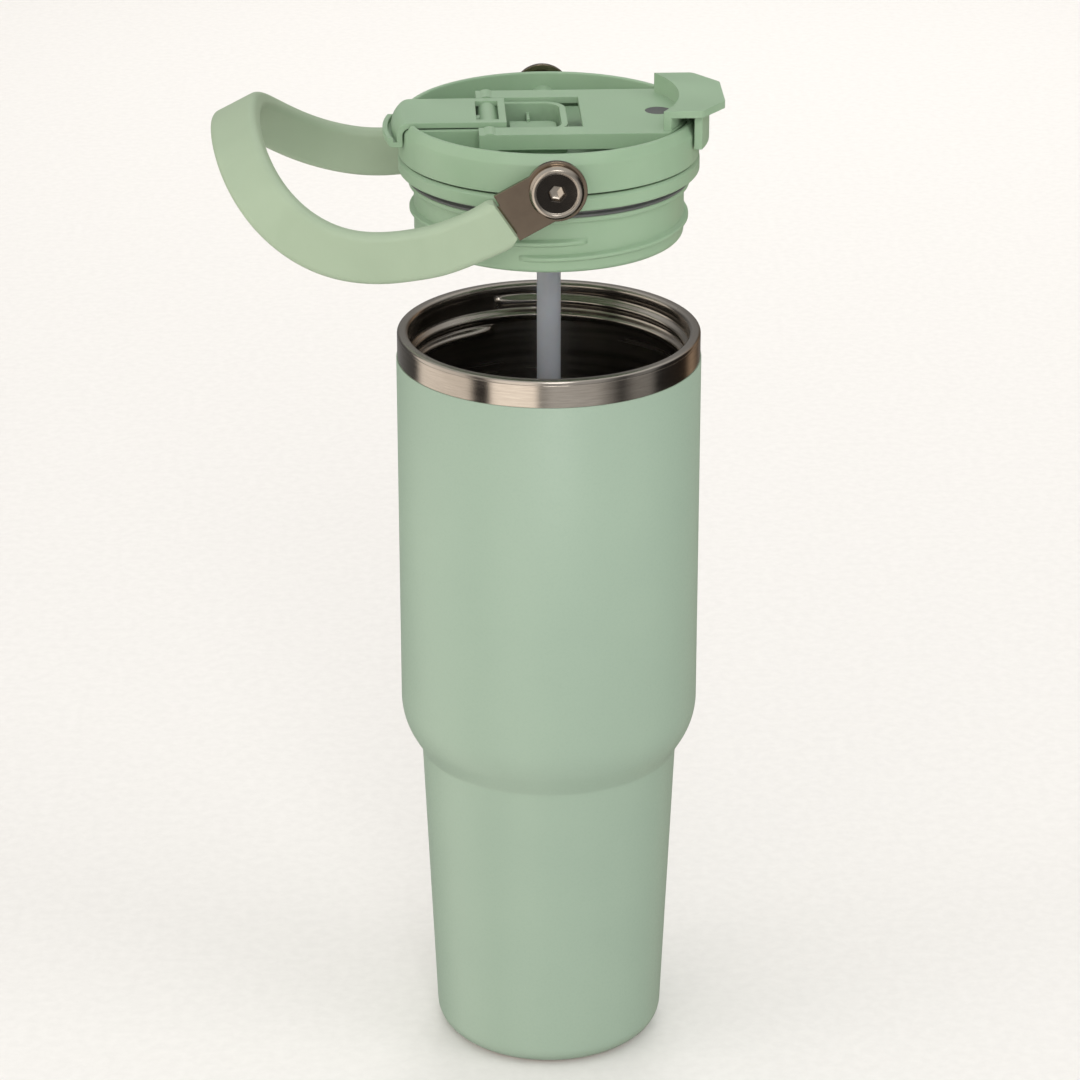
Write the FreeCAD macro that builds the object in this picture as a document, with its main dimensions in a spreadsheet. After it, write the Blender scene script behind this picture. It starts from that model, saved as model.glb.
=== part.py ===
"""Insulated travel mug with a screw lid, a carry handle, a sip flap and a flip-up straw spout.

Millimetres, +Z up.  The origin is the centre of the mug's foot.  +X points to the thumb tab of the
sip flap, and the two handle pivots lie on the Y axis.  Lid pieces are drawn about the lid's own
seat plane, the height at which its collar meets the mug's lip, and stand raised above the mug by
lid_travel plus thread_rise: screwed down, the seat plane and the lip are level.
"""
import FreeCAD, Part
import math
import os

import Sketcher

from FreeCAD import Placement, Rotation, Vector

doc = FreeCAD.newDocument("TravelMug")
sheet = doc.addObject("Spreadsheet::Sheet", "Sizes")

# Driving dimensions: name and value, in mm or degrees.  A value that starts with = follows a
# size above it, so that the lid, the seals and the handle keep their fits when the mug changes.
SIZES = {
    # mug
    "mug_height": 256.0,
    "mug_radius": 50.0,
    "waist_radius": 43.2,
    "waist_height": 107.0,
    "base_radius": 38.6,
    "shoulder_slope": 30.0,
    "shoulder_round": 25.0,
    "waist_round": 4.0,
    "base_round": 7.8,
    "coat": 0.3,
    "steel": 0.8,
    "vacuum_gap": 1.8,
    "vessel_floor": 8.5,
    "bare_band": 9.0,
    "coat_start": 0.6,
    "lip_bore": "=mug_radius - 4.2",
    "lip_depth": 3.0,
    "foot_bore": "=base_radius - 13.6",
    "foot_cover_gap": 0.1,
    "seal_crown": 0.2,
    "weld_lap": 4.0,
    "seal_radius": 1.5,
    "getter_radius": 4.0,
    "getter_height": 1.2,
    # screw thread
    "pitch": 5.0,
    "bead_turns": 2.0,
    "bead_radius": 1.6,
    "bead_reach": "=lip_bore - 1.4",
    "bead_top": 6.0,
    "ridge_turns": 1.08,
    "ridge_radius": 1.0,
    "ridge_reach": "=lip_bore - 0.8",
    "ridge_low": 16.5,
    "ridge_angle": 255.0,
    "lid_travel": 45.0,
    "thread_rise": 10.0,
    # lid shell
    "cover_radius": "=mug_radius - 1.8",
    "cover_bore": "=cover_radius - 3",
    "cover_top": 18.5,
    "bevel_drop": 3.2,
    "bevel_width": 1.6,
    "cover_low": 5.9,
    "bevel_round": 1.2,
    "rim_edge_round": 0.6,
    "bore_edge_round": 0.5,
    "deck_round": 1.5,
    "deck_low": 6.2,
    "deck_top": 8.2,
    "spigot_low": 2.3,
    "spigot_wall": 3.0,
    "collar_radius": "=cover_radius + 0.2",
    "collar_low": 0.3,
    "collar_top": 5.1,
    "plug_radius": "=lip_bore - 2.3",
    "plug_wall": 2.2,
    "plug_depth": 21.4,
    "plug_floor": 2.4,
    "plug_round": 2.0,
    "collar_edge": 0.8,
    "flange_radius": "=lip_bore - 0.6",
    "flange_top": 2.7,
    "flange_low": 4.2,
    "flange_slope": 0.6,
    "gasket_lip": "=lip_bore - 0.3",
    "gasket_gap": 0.1,
    "oring_radius": "=cover_bore - 0.6",
    "oring_section": 0.8,
    "oring_gap": 0.1,
    # trough and hinge on the deck
    "trough_half": 16.0,
    "trough_wall": 2.0,
    "trough_top": 17.2,
    "trough_end": 5.7,
    "trough_round": 7.5,
    "tunnel_left": 12.4,
    "tunnel_right": 2.6,
    "tunnel_half": 8.0,
    "tunnel_top": 13.0,
    "tunnel_round": 3.0,
    "rib_left": 6.8,
    "rib_thick": 1.0,
    "hinge_x": 19.5,
    "hinge_z": 15.5,
    "pin_radius": 1.2,
    "pin_reach": 23.8,
    "pin_inner": 7.0,
    "running_gap": 0.05,
    # flip spout
    "bar_half": 13.5,
    "bar_top": 19.2,
    "bar_thick": 1.8,
    "bar_right": 13.9,
    "window_left": 23.4,
    "window_right": 16.2,
    "window_half": 10.4,
    "drum_radius": 3.2,
    "drum_half": 13.2,
    "lip_gap": 0.6,
    "lip_thick": 1.6,
    "lip_low": 11.3,
    "lip_tip": 14.3,
    "lip_reach": 6.0,
    "notch_gap": 0.6,
    "nozzle_radius": 4.2,
    "flow_bore": 1.3,
    "flow_z": 14.2,
    "bar_bend": 4.0,
    "lip_bend": 1.5,
    "curl_gap": 1.2,
    "nozzle_z": 13.2,
    "nozzle_step": "=cover_bore - 12.2",
    "nozzle_end": "=cover_bore - 3.8",
    "tip_end": "=cover_bore - 2.2",
    "tip_wall": 1.0,
    # sip flap
    "flap_half": 24.8,
    "flap_top": 18.4,
    "flap_thick": 2.2,
    "flap_skirt": 5.0,
    "flap_skirt_thick": 2.0,
    "flap_slot": 10.1,
    "flap_edge": "=cover_bore - 0.7",
    "fork_gap": 0.6,
    "knuckle_radius": 3.4,
    "tab_inner": "=cover_bore - 3.7",
    "tab_leg": 2.1,
    "tab_top": 24.5,
    "tab_thick": 2.3,
    "tab_half": 22.0,
    "tab_reach": "=cover_radius + 7.3",
    "tab_corner_x": "=tab_reach - 8",
    "tab_corner_y": 11.0,
    "tab_round": 2.5,
    "skirt_gap": 0.8,
    "skirt_thick": 2.3,
    "skirt_half": 19.0,
    "skirt_low": 11.0,
    "sip_x": "=cover_bore - 10.2",
    "sip_bore": 3.2,
    "sip_wall": 1.3,
    "sip_rim": 1.2,
    "stopper_radius": 4.25,
    "stopper_gap": 0.3,
    "vent_x": 14.0,
    "vent_y": 9.0,
    "vent_bore": 1.2,
    "umbrella_rim": 2.0,
    "umbrella_thick": 0.8,
    # straw
    "straw_radius": 3.9,
    "straw_wall": 0.8,
    "straw_gap": 0.1,
    "straw_foot": 1.0,
    "straw_hold": 11.9,
    "socket_wall": 1.3,
    "duct_radius": 3.0,
    "duct_bore": 2.0,
    "duct_z": 3.1,
    "duct_step": 0.2,
    "seat_half_x": 1.9,
    "seat_half_y": 4.5,
    "seat_wall": 0.7,
    "seat_low": 9.0,
    "seal_top": 13.2,
    "nozzle_gap": 0.4,
    # handle
    "pivot_z": 9.2,
    "boss_radius": 4.8,
    "boss_inner": "=cover_bore - 6.7",
    "insert_radius": 3.2,
    "insert_length": 7.0,
    "thread_radius": 2.0,
    "shoulder_radius": 4.0,
    "head_radius": 8.5,
    "head_thick": 2.6,
    "head_chamfer": 0.9,
    "hex_across": 4.8,
    "hex_depth": 1.9,
    "spacer_radius": 6.5,
    "spacer_gap": 0.2,
    "pad_reach": "=cover_radius + 0.3",
    "side_gap": 0.1,
    "strap_inner": "=pad_reach + 4.9",
    "strap_thick": 1.6,
    "strap_eye": 9.6,
    "strap_half": 8.2,
    "strap_tail_half": 4.6,
    "strap_shoulder": 17.5,
    "strap_length": 36.0,
    "strap_angle": 29.0,
    "grip_half": "=strap_inner + 5.4",
    "grip_thick": 6.4,
    "grip_width": 16.0,
    "grip_round": 2.2,
    "grip_low_x": 54.7,
    "grip_drop": 20.4,
    "grip_near_bend": 70.0,
    "grip_far_bend": 50.0,
    "grip_straight": 5.8,
    "grip_bow": 53.8,
    "grip_start": 15.7,
    "grip_chamfer": 4.7,
    "grip_nose_half": 5.2,
}
for row, (name, number) in enumerate(SIZES.items(), start=1):
    sheet.set("A%d" % row, name)
    sheet.set("B%d" % row, str(number))
    sheet.setAlias("B%d" % row, name)
doc.recompute()

nodes = {}
NEAR = 1e-6


def bound(expression):
    """Return an expression in which every size name points at the spreadsheet."""
    out = ""
    word = ""
    for letter in expression + " ":
        if letter.isalnum() or letter == "_":
            word += letter
            continue
        out += "Sizes." + word if word in SIZES else word
        out += letter
        word = ""
    return out.strip()


def value(expression):
    """Return the number that an expression over the sizes has now."""
    result = sheet.evalExpression(bound(expression))
    return float(getattr(result, "Value", result))


def bind(item, prop, expression):
    item.setExpression(prop, bound(expression))


def place(item, x="0", y="0", z="0"):
    bind(item, ".Placement.Base.x", x)
    bind(item, ".Placement.Base.y", y)
    bind(item, ".Placement.Base.z", z)
    return item


def cylinder(name, radius, height, x="0", y="0", z="0", axis="z"):
    """A cylinder that starts at x, y, z and runs along +Z, +Y or +X."""
    item = doc.addObject("Part::Cylinder", name)
    turn = {"z": Rotation(), "y": Rotation(Vector(1, 0, 0), -90), "x": Rotation(Vector(0, 1, 0), 90)}
    item.Placement = Placement(Vector(), turn[axis])
    bind(item, "Radius", radius)
    bind(item, "Height", height)
    return place(item, x, y, z)


def box(name, x0, x1, y0, y1, z0, z1):
    item = doc.addObject("Part::Box", name)
    bind(item, "Length", "(%s) - (%s)" % (x1, x0))
    bind(item, "Width", "(%s) - (%s)" % (y1, y0))
    bind(item, "Height", "(%s) - (%s)" % (z1, z0))
    return place(item, x0, y0, z0)


def fuse(name, items):
    item = doc.addObject("Part::MultiFuse", name)
    item.Shapes = items
    item.Refine = True
    return item


def cut(name, base, tools):
    """Cut one tool, or several fused ones, out of the base."""
    item = doc.addObject("Part::Cut", name)
    item.Base = base
    item.Tool = tools[0] if len(tools) == 1 else fuse(name + "_tools", tools)
    item.Refine = True
    return item


def common(name, first, second):
    item = doc.addObject("Part::Common", name)
    item.Base = first
    item.Tool = second
    item.Refine = True
    return item


def origin_plane(body, role):
    for plane in body.Origin.OriginFeatures:
        if plane.Role == role:
            return plane
    raise RuntimeError("no plane " + role)


def outline(body, name, role, points):
    """A closed sketch of straight lines whose corners follow the sizes."""
    drawing = body.newObject("Sketcher::SketchObject", name)
    drawing.AttachmentSupport = (origin_plane(body, role), [""])
    drawing.MapMode = "FlatFace"
    places = [Vector(value(x), value(y), 0) for x, y in points]
    count = len(places)
    for index in range(count):
        drawing.addGeometry(Part.LineSegment(places[index], places[(index + 1) % count]), False)
    for index in range(count):
        fixed = drawing.addConstraint(
            Sketcher.Constraint("Coincident", index, 2, (index + 1) % count, 1))
    for index, (x, y) in enumerate(points):
        for kind, expression, number, axis in (("DistanceX", x, places[index].x, -2),
                                               ("DistanceY", y, places[index].y, -1)):
            if abs(number) < NEAR:
                drawing.addConstraint(Sketcher.Constraint("PointOnObject", index, 1, axis))
                continue
            ends = (-1, 1, index, 1) if number > 0 else (index, 1, -1, 1)
            sign = "" if number > 0 else "-"
            fixed = drawing.addConstraint(Sketcher.Constraint(kind, *ends, abs(number)))
            bind(drawing, "Constraints[%d]" % fixed, "%s(%s)" % (sign, expression))
    return drawing


def turned(name, points):
    """A body of revolution about Z from corners given as radius and height."""
    body = doc.addObject("PartDesign::Body", name)
    drawing = outline(body, name + "_profile", "XZ_Plane", points)
    doc.recompute()
    feature = body.newObject("PartDesign::Revolution", name + "_turned")
    feature.Profile = drawing
    feature.ReferenceAxis = (drawing, ["V_Axis"])
    feature.Angle = 360
    body.Tip = feature
    doc.recompute()
    return body


def padded(name, role, points, length, midplane=False):
    """A body padded from an outline on one of its origin planes."""
    body = doc.addObject("PartDesign::Body", name)
    drawing = outline(body, name + "_profile", role, points)
    doc.recompute()
    feature = body.newObject("PartDesign::Pad", name + "_pad")
    feature.Profile = drawing
    bind(feature, "Length", length)
    feature.Midplane = midplane
    body.Tip = feature
    doc.recompute()
    return body


def rounded(body, radius, chooser):
    """Fillet every edge of the body's tip that the chooser accepts."""
    base = body.Tip
    names = ["Edge%d" % (index + 1) for index, edge in enumerate(base.Shape.Edges) if chooser(edge)]
    if not names:
        raise RuntimeError("no edge to round on " + body.Name)
    feature = body.newObject("PartDesign::Fillet", "%s_round%d" % (body.Name, len(body.Group)))
    feature.Base = (base, names)
    bind(feature, "Radius", radius)
    body.Tip = feature
    doc.recompute()
    return body


def ring_at(radius, height):
    """Choose circular edges by radius and height."""
    want_r, want_z = value(radius), value(height)

    def chooser(edge):
        curve = edge.Curve
        return (isinstance(curve, Part.Circle) and abs(curve.Radius - want_r) < 0.01
                and abs(edge.BoundBox.ZMin - want_z) < 0.01 and edge.BoundBox.ZLength < 0.01)
    return chooser


def upright_at(x, y=None):
    """Choose vertical edges at a given x, and optionally at a given distance from the XZ plane."""
    want_x = value(x)
    want_y = None if y is None else value(y)

    def chooser(edge):
        box_ = edge.BoundBox
        if box_.XLength > 0.01 or box_.YLength > 0.01 or abs(box_.XMin - want_x) > 0.01:
            return False
        return want_y is None or abs(abs(box_.YMin) - want_y) < 0.01
    return chooser


def helical(name, centre_radius, section, turns, start_z, start_angle, ball_ends):
    """A right-hand round thread, with or without ball ends, rising from start_z."""
    spine = doc.addObject("Part::Helix", name + "_helix")
    bind(spine, "Pitch", "pitch")
    bind(spine, "Height", "pitch * %s" % turns)
    bind(spine, "Radius", centre_radius)
    circle = doc.addObject("Part::Circle", name + "_section")
    circle.Placement = Placement(Vector(), Rotation(Vector(1, 0, 0), 90))
    bind(circle, "Radius", section)
    place(circle, centre_radius)
    sweep = doc.addObject("Part::Sweep", name + "_sweep")
    sweep.Sections = [circle]
    sweep.Spine = (spine, ["Edge1"])
    sweep.Solid = True
    sweep.Frenet = True
    turn = "360 * (%s)" % turns
    pieces = [sweep]
    if ball_ends:
        for tag, angle, height in (("first", "0", "0"), ("last", turn, "pitch * %s" % turns)):
            ball = doc.addObject("Part::Sphere", "%s_%s_end" % (name, tag))
            bind(ball, "Radius", section)
            place(ball, "(%s) * cos(%s)" % (centre_radius, angle),
                  "(%s) * sin(%s)" % (centre_radius, angle), height)
            pieces.append(ball)
        whole = fuse(name, pieces)
    else:
        whole = doc.addObject("Part::Compound", name)
        whole.Links = pieces
    whole.Placement = Placement(Vector(), Rotation(Vector(0, 0, 1), value(start_angle)))
    return place(whole, z=start_z)


SEAT = "mug_height + lid_travel + thread_rise"


def mug_part(name, item):
    item.Label = name
    nodes[name] = item


def lid_part(name, item, x="0", y="0", z="0"):
    """Register a piece drawn about the seat plane, and lift it there."""
    item.Label = name
    place(item, x=x, y=y, z=SEAT + " + (" + z + ")")
    nodes[name] = item


# ---------------------------------------------------------------- mug

TAPER = "atan((waist_radius - base_radius) / waist_height)"
SHOULDER_HEIGHT = "waist_height + (mug_radius - waist_radius) / tan(shoulder_slope)"


def mug_form(name, inset, floor, top="mug_height", base_round=None):
    """The mug's outline moved inward by an inset, as a solid with its own floor."""
    waist_z = ("waist_height + (%s) * (1 / cos(shoulder_slope) - 1 / cos(%s))"
               " / (tan(shoulder_slope) - tan(%s))" % (inset, TAPER, TAPER))
    waist_r = "base_radius + tan(%s) * (%s) - (%s) / cos(%s)" % (TAPER, waist_z, inset, TAPER)
    shoulder_z = SHOULDER_HEIGHT + " + (%s) * tan(shoulder_slope / 2)" % inset
    base_r = "base_radius + tan(%s) * (%s) - (%s) / cos(%s)" % (TAPER, floor, inset, TAPER)
    wall_r = "mug_radius - (%s)" % inset
    body = turned(name, [("0", floor), (base_r, floor), (waist_r, waist_z), (wall_r, shoulder_z),
                         (wall_r, top), ("0", top)])
    rounded(body, base_round or "base_round - (%s)" % inset, ring_at(base_r, floor))
    rounded(body, "waist_round + (%s)" % inset, ring_at(waist_r, waist_z))
    rounded(body, "shoulder_round - (%s)" % inset, ring_at(wall_r, shoulder_z))
    return body


# Half a pitch between bead and ridge once the lid is down on its travel.
BEAD_ANGLE = ("ridge_angle - 360 * (thread_rise - ridge_low + bead_top + pitch * bead_turns"
              " - pitch / 2) / pitch")
SHELL_OUT = "coat"
SHELL_IN = "coat + steel"
VESSEL_OUT = "coat + steel + vacuum_gap"
VESSEL_IN = "coat + 2 * steel + vacuum_gap"


def make_powder_coat():
    skin = cut("coat_skin", mug_form("coat_outer", "0", "0"), [mug_form("coat_inner", SHELL_OUT, "0")])
    span = cylinder("coat_span", "mug_radius + 1", "mug_height - bare_band - coat_start", z="coat_start")
    mug_part("powder_coat", common("coat_trimmed", skin, span))


def make_outer_shell():
    solid = mug_form("shell_outer", SHELL_OUT, "0")
    hollow = mug_form("shell_inner", SHELL_IN, "steel", "mug_height + 1")
    hole = cylinder("shell_foot_hole", "foot_bore", "3", z="-1")
    mug_part("outer_shell", cut("shell_wall", solid, [hollow, hole]))


def make_shell_bottom():
    plate = cylinder("bottom_plate", "foot_bore + weld_lap", "steel", z="steel")
    hole = cylinder("bottom_hole", "seal_radius", "3")
    mug_part("shell_bottom", cut("bottom_welded", plate, [hole]))
    mug_part("vacuum_seal", cylinder("seal_bead", "seal_radius", "2 * steel + seal_crown", z="steel"))
    mug_part("getter", cylinder("getter_pill", "getter_radius", "getter_height",
                                z="vessel_floor - steel - getter_height"))
    cover = cylinder("foot_disc", "foot_bore - foot_cover_gap", "steel")
    mug_part("base_cover", cover)


def make_inner_vessel():
    solid = mug_form("vessel_outer", VESSEL_OUT, "vessel_floor - steel", "mug_height - lip_depth")
    hollow = mug_form("vessel_hollow", VESSEL_IN, "vessel_floor", "mug_height - lip_depth",
                      base_round="base_round - coat - steel")
    lip = turned("vessel_lip", [
        ("lip_bore", "mug_height"), ("mug_radius - coat - steel", "mug_height"),
        ("mug_radius - coat - steel", "mug_height - steel"), ("lip_bore + steel", "mug_height - steel"),
        ("lip_bore + steel", "mug_height - lip_depth + steel"),
        ("mug_radius - (%s)" % VESSEL_OUT, "mug_height - lip_depth"),
        ("mug_radius - (%s)" % VESSEL_IN, "mug_height - lip_depth - steel"),
        ("mug_radius - (%s)" % VESSEL_IN, "mug_height - lip_depth - steel / 2"),
        ("lip_bore", "mug_height - lip_depth + steel")])
    rounded(lip, "steel / 2", ring_at("lip_bore", "mug_height"))
    bead = helical("vessel_bead", "bead_reach + bead_radius", "bead_radius", "bead_turns",
                   "mug_height - bead_top - pitch * bead_turns", BEAD_ANGLE, True)
    wall = cut("vessel_wall", solid, [hollow])
    mug_part("inner_vessel", fuse("vessel_whole", [wall, lip, bead]))


# ---------------------------------------------------------------- lid shell

def make_lid_cover():
    ring = turned("cover_ring", [
        ("0", "deck_low"), ("plug_radius - plug_wall - spigot_wall", "deck_low"),
        ("plug_radius - plug_wall - spigot_wall", "spigot_low"),
        ("plug_radius - plug_wall", "spigot_low"),
        ("plug_radius - plug_wall", "cover_low"), ("cover_radius", "cover_low"),
        ("cover_radius", "cover_top - bevel_drop"), ("cover_radius - bevel_width", "cover_top"),
        ("cover_bore", "cover_top"), ("cover_bore", "deck_top"), ("0", "deck_top")])
    rounded(ring, "bevel_round", ring_at("cover_radius", "cover_top - bevel_drop"))
    rounded(ring, "rim_edge_round", ring_at("cover_radius - bevel_width", "cover_top"))
    rounded(ring, "bore_edge_round", ring_at("cover_bore", "cover_top"))
    rounded(ring, "deck_round", ring_at("cover_bore", "deck_top"))
    trough = padded("trough_block", "XY_Plane", [
        ("-cover_bore - 1", "-trough_half"), ("trough_end", "-trough_half"),
        ("trough_end", "trough_half"), ("-cover_bore - 1", "trough_half")],
        "trough_top - deck_low")
    rounded(trough, "trough_round", upright_at("trough_end"))
    place(trough, z="deck_low")
    channel = padded("trough_channel", "XY_Plane", [
        ("-cover_radius - 9", "trough_wall - trough_half"), ("trough_end - trough_wall",
                                                            "trough_wall - trough_half"),
        ("trough_end - trough_wall", "trough_half - trough_wall"),
        ("-cover_radius - 9", "trough_half - trough_wall")], "trough_top")
    rounded(channel, "trough_round - trough_wall", upright_at("trough_end - trough_wall"))
    place(channel, z="deck_top")
    inside = cylinder("trough_inside", "cover_bore", "trough_top", z="deck_low")
    walls = common("trough_walls", cut("trough_shape", trough, [channel]), inside)
    tunnel = padded("tunnel_block", "XY_Plane", [
        ("-tunnel_left", "-tunnel_half"), ("tunnel_right", "-tunnel_half"),
        ("tunnel_right", "tunnel_half"), ("-tunnel_left", "tunnel_half")], "tunnel_top - deck_low")
    rounded(tunnel, "tunnel_round", upright_at("tunnel_right"))
    place(tunnel, z="deck_low")
    rib = box("trough_rib", "-rib_left", "rib_thick - rib_left", "tunnel_half - 1",
              "trough_half - 1", "deck_low", "tunnel_top + 1")
    seat = cylinder("sip_seat", "sip_bore + sip_wall", "deck_top - deck_low + sip_rim", x="sip_x",
                    z="deck_low")
    pads = common("pivot_pads", cut(
        "pad_bar", cylinder("pad_round", "spacer_radius", "2 * pad_reach", y="-pad_reach",
                            z="pivot_z", axis="y"),
        [cylinder("pad_inside", "cover_bore + 1", "40")]),
        box("pad_limit", "-20", "20", "-60", "60", "cover_low", "cover_top - bevel_drop"))
    bosses = common("pivot_bosses", fuse("boss_pair", [
        cylinder("pivot_boss_%s" % side, "boss_radius", "cover_bore - boss_inner + 1",
                 y=y, z="pivot_z", axis="y")
        for side, y in (("front", "-cover_bore - 1"), ("back", "boss_inner"))]),
        cylinder("boss_limit", "cover_radius", "cover_top - cover_low", z="cover_low"))
    whole = fuse("cover_fused", [ring, walls, tunnel, rib, seat, pads, bosses])
    notch = box("rim_notch", "-cover_radius - 3", "-cover_bore + 3", "-bar_half - notch_gap",
                "bar_half + notch_gap", "bar_top - bar_thick - notch_gap", "cover_top + 5")
    seat_way = box("seat_way", "-hinge_x - seat_half_x", "seat_half_x - hinge_x", "-seat_half_y",
                   "seat_half_y", "deck_low - 4", "deck_top + 1")
    sip_way = cylinder("sip_way", "sip_bore", "20", x="sip_x")
    tube_way = cylinder("sip_tube_way", "sip_bore + sip_wall + running_gap", "deck_low", x="sip_x")
    vent_way = cylinder("vent_way", "vent_bore", "20", x="vent_x", y="vent_y")
    pin_way = cylinder("pin_way", "pin_radius", "2 * trough_half + 4", x="-hinge_x",
                       y="-trough_half - 2", z="hinge_z", axis="y")
    inserts = [cylinder("insert_way_%s" % side, "insert_radius", "insert_length", y=y, z="pivot_z",
                        axis="y")
               for side, y in (("front", "-boss_inner - insert_length"), ("back", "boss_inner"))]
    screws = cylinder("shoulder_way_front", "shoulder_radius + spacer_gap", "20",
                      y="-boss_inner - insert_length - 20", z="pivot_z", axis="y")
    screws_back = cylinder("shoulder_way_back", "shoulder_radius + spacer_gap", "20",
                           y="boss_inner + insert_length", z="pivot_z", axis="y")
    lid_part("lid_cover", cut("cover_whole", whole, [
        notch, seat_way, sip_way, tube_way, vent_way, pin_way, screws, screws_back]
        + inserts))


def make_lid_plug():
    inner = "plug_radius - plug_wall"
    groove_out = "oring_radius + oring_section + oring_gap"
    groove_in = "oring_radius - oring_section - oring_gap"
    groove_low = "collar_top - oring_section - oring_gap"
    cup = turned("plug_cup", [
        ("0", "-plug_depth"), ("plug_radius", "-plug_depth"), ("plug_radius", "-flange_low - flange_slope"),
        ("flange_radius", "-flange_low"), ("flange_radius", "-flange_top"),
        ("plug_radius", "-flange_top"), ("plug_radius", "collar_low"),
        ("collar_radius - 0.4", "collar_low"), ("collar_radius", "collar_low + 0.5"),
        ("collar_radius", "collar_top - collar_edge"),
        ("collar_radius - collar_edge", "collar_top"), (groove_out, "collar_top"),
        (groove_out, groove_low), (groove_in, groove_low), (groove_in, "collar_top"),
        (inner, "collar_top"),
        (inner, "plug_floor - plug_depth"), ("0", "plug_floor - plug_depth")])
    rounded(cup, "plug_round", ring_at("plug_radius", "-plug_depth"))
    ridge = helical("plug_ridge", "ridge_reach - ridge_radius", "ridge_radius", "ridge_turns",
                    "-ridge_low", "ridge_angle", False)
    sip_tube = cylinder("sip_tube", "sip_bore + sip_wall", "plug_depth - 1 + deck_low", x="sip_x",
                        z="1 - plug_depth")
    vent_tube = cylinder("vent_tube", "vent_bore + sip_wall", "plug_depth - 1 + deck_low", x="vent_x",
                         y="vent_y", z="1 - plug_depth")
    whole = fuse("plug_fused", [cup, ridge, sip_tube, vent_tube])
    socket_way = cylinder("plug_socket_way", "straw_radius + straw_gap + socket_wall", "6",
                          z="-plug_depth - 1")
    sip_way = cylinder("plug_sip_way", "sip_bore", "40", x="sip_x", z="-plug_depth - 1")
    vent_way = cylinder("plug_vent_way", "vent_bore", "40", x="vent_x", y="vent_y",
                        z="-plug_depth - 1")
    lid_part("lid_plug", cut("plug_whole", whole, [socket_way, sip_way, vent_way]))


def make_lid_seals():
    inner = "plug_radius + gasket_gap"
    lid_part("lid_gasket", turned("gasket_ring", [
        (inner, "-flange_top + gasket_gap"), ("gasket_lip - 0.3", "-flange_top + gasket_gap"),
        ("gasket_lip", "-flange_top + 0.4"), ("gasket_lip", "-flange_top + 0.9"),
        ("gasket_lip - 0.9", "-1.3"), ("gasket_lip", "-0.9"), ("gasket_lip", "-0.4"),
        ("gasket_lip - 0.3", "collar_low - gasket_gap"), (inner, "collar_low - gasket_gap")]))
    ring = doc.addObject("Part::Torus", "oring_torus")
    bind(ring, "Radius1", "oring_radius")
    bind(ring, "Radius2", "oring_section")
    lid_part("cover_oring", ring, z="collar_top - 0.05")
    stem = cylinder("vent_stem", "vent_bore", "4", x="vent_x", y="vent_y", z="-plug_depth - 0.3")
    umbrella = cylinder("vent_umbrella", "vent_bore + umbrella_rim", "umbrella_thick", x="vent_x",
                        y="vent_y", z="-plug_depth - umbrella_thick")
    lid_part("vent_valve", fuse("vent_whole", [stem, umbrella]))


# ---------------------------------------------------------------- straw

SOCKET = "straw_radius + straw_gap + socket_wall"


def make_straw():
    low = "vessel_floor + straw_foot + lid_travel"
    high = "%s - (plug_depth - straw_hold)" % SEAT
    tube = cylinder("straw_tube", "straw_radius", "(%s) - (%s)" % (high, low), z=low)
    bore = cylinder("straw_bore", "straw_radius - straw_wall", "(%s) - (%s) + 2" % (high, low),
                    z="(%s) - 1" % low)
    mug_part("straw", cut("straw_whole", tube, [bore]))
    socket = cylinder("connector_socket", SOCKET, "plug_depth + duct_z + duct_radius - duct_step",
                      z="-plug_depth")
    duct = cylinder("connector_duct", "duct_radius", "hinge_x", x="-hinge_x", z="duct_z", axis="x")
    stub = box("connector_stub", "-hinge_x - seat_half_x", "seat_half_x - hinge_x", "-seat_half_y",
               "seat_half_y", "duct_z - duct_radius", "seat_low")
    body = fuse("connector_body", [socket, duct, stub])
    socket_bore = cylinder("connector_bore", "straw_radius + straw_gap",
                           "plug_depth + duct_z - duct_bore - duct_step + 1", z="-plug_depth - 1")
    duct_bore = cylinder("connector_duct_bore", "duct_bore", "hinge_x", x="-hinge_x", z="duct_z",
                         axis="x")
    head_bore = cylinder("connector_head_bore", "straw_radius - straw_wall", "2 * duct_bore",
                         z="duct_z - duct_bore - duct_step")
    stub_bore = cylinder("connector_stub_bore", "seat_half_x - seat_wall", "seat_low", x="-hinge_x",
                         z="duct_z")
    lid_part("straw_connector", cut("connector_whole", body, [socket_bore, duct_bore, head_bore,
                                                              stub_bore]))
    seal = box("seal_block", "-hinge_x - seat_half_x", "seat_half_x - hinge_x", "-seat_half_y",
               "seat_half_y", "seat_low", "seal_top")
    drum_way = cylinder("seal_drum_way", "drum_radius + running_gap", "20", x="-hinge_x", y="-10",
                        z="hinge_z", axis="y")
    seal_bore = cylinder("seal_bore", "seat_half_x - seat_wall", "9", x="-hinge_x", z="seat_low - 1")
    lid_part("spout_seal", cut("seal_whole", seal, [drum_way, seal_bore]))


# ---------------------------------------------------------------- flip spout

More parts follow.
